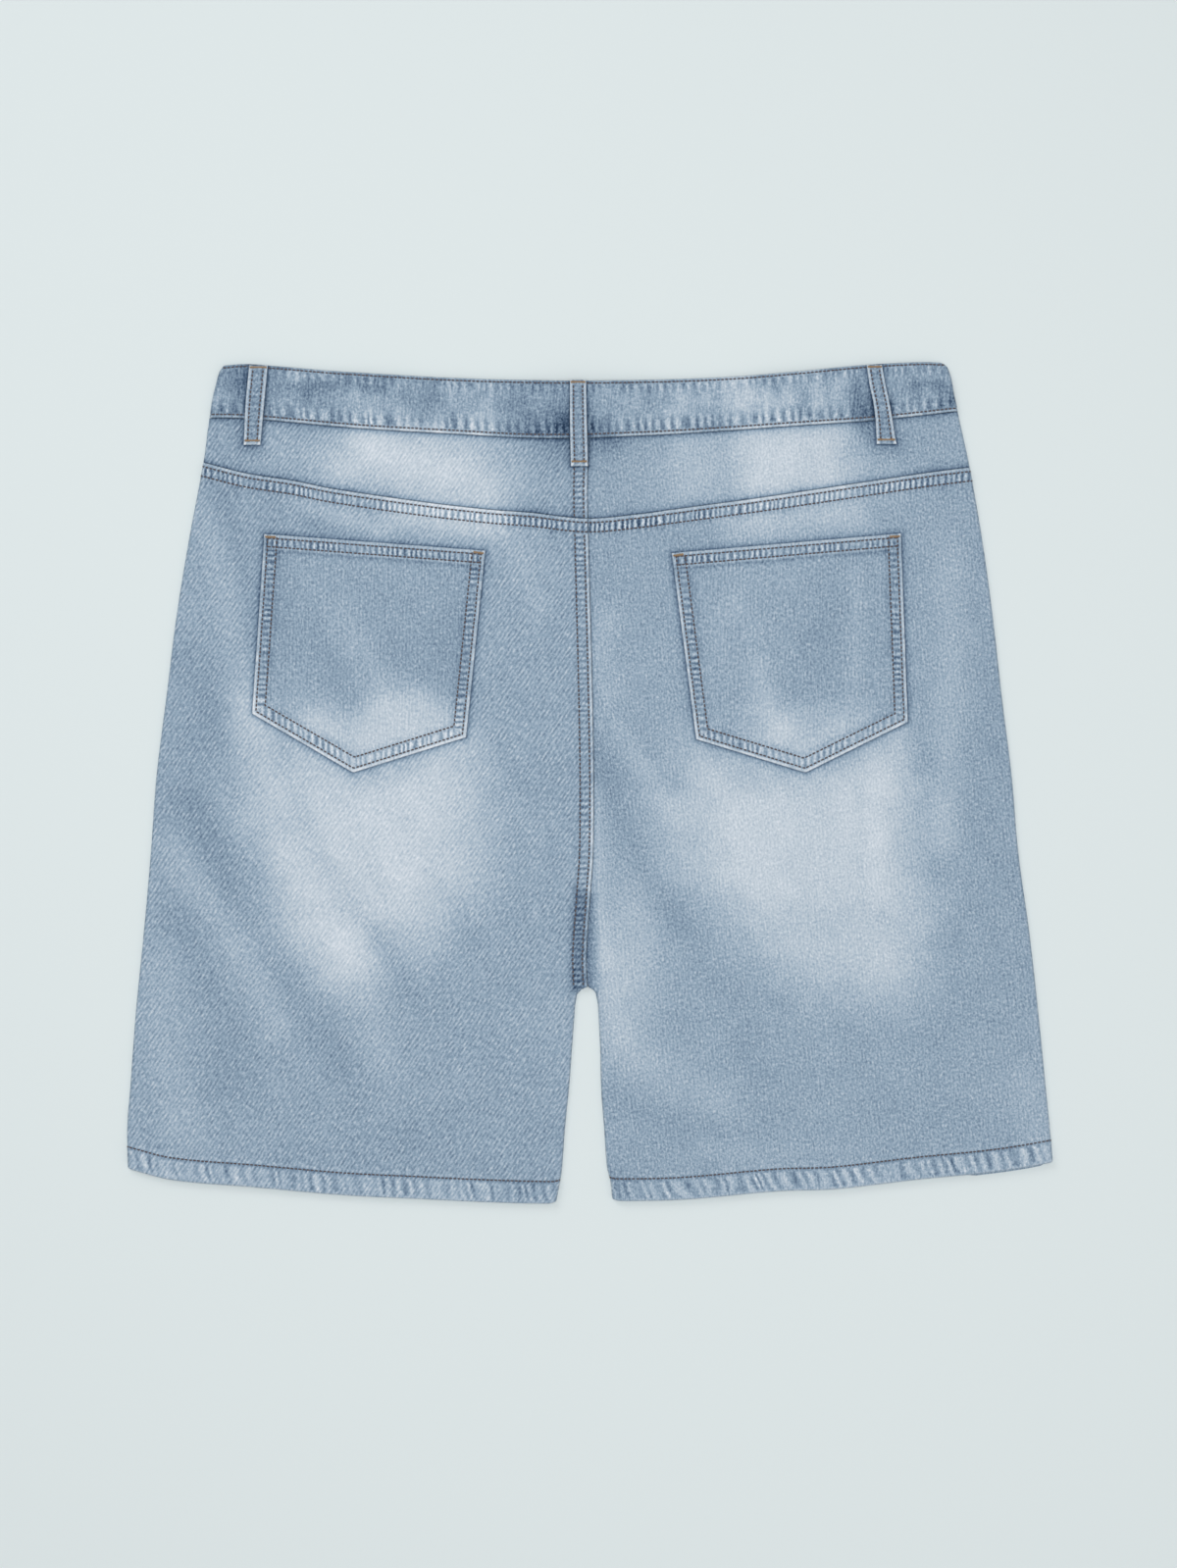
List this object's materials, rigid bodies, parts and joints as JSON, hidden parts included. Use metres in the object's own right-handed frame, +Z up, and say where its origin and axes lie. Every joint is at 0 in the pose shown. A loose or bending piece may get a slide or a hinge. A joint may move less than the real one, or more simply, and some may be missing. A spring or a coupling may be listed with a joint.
{
  "type": "denim shorts",
  "caption": "Light-wash denim shorts laid flat with the back up: waistband with belt loops, yokes, two patch pockets, felled seams and turned-up hems.",
  "frame": {"origin": "centre of the bounding box in plan, at the height of the surface the shorts lie on", "axes": "+X to the wearer's right (right in the picture), +Y from the hems to the waist, +Z up, out of the back of the shorts"},
  "size_m": [0.66, 0.5996, 0.0148],
  "materials": {
    "denim": "light-wash cotton twill, matt, faded at the seat",
    "button_metal": "antique, satin"
  },
  "bodies": {
    "root": {"front_left": "denim", "front_right": "denim", "back_left": "denim", "back_right": "denim", "yoke_left": "denim", "yoke_right": "denim", "pocket_left": "denim", "pocket_right": "denim", "waistband": "denim", "belt_loop_back_left": "denim", "belt_loop_back_centre": "denim", "belt_loop_back_right": "denim", "belt_loop_front_left": "denim", "belt_loop_front_right": "denim", "button": "button_metal"}
  },
  "joints": []
}
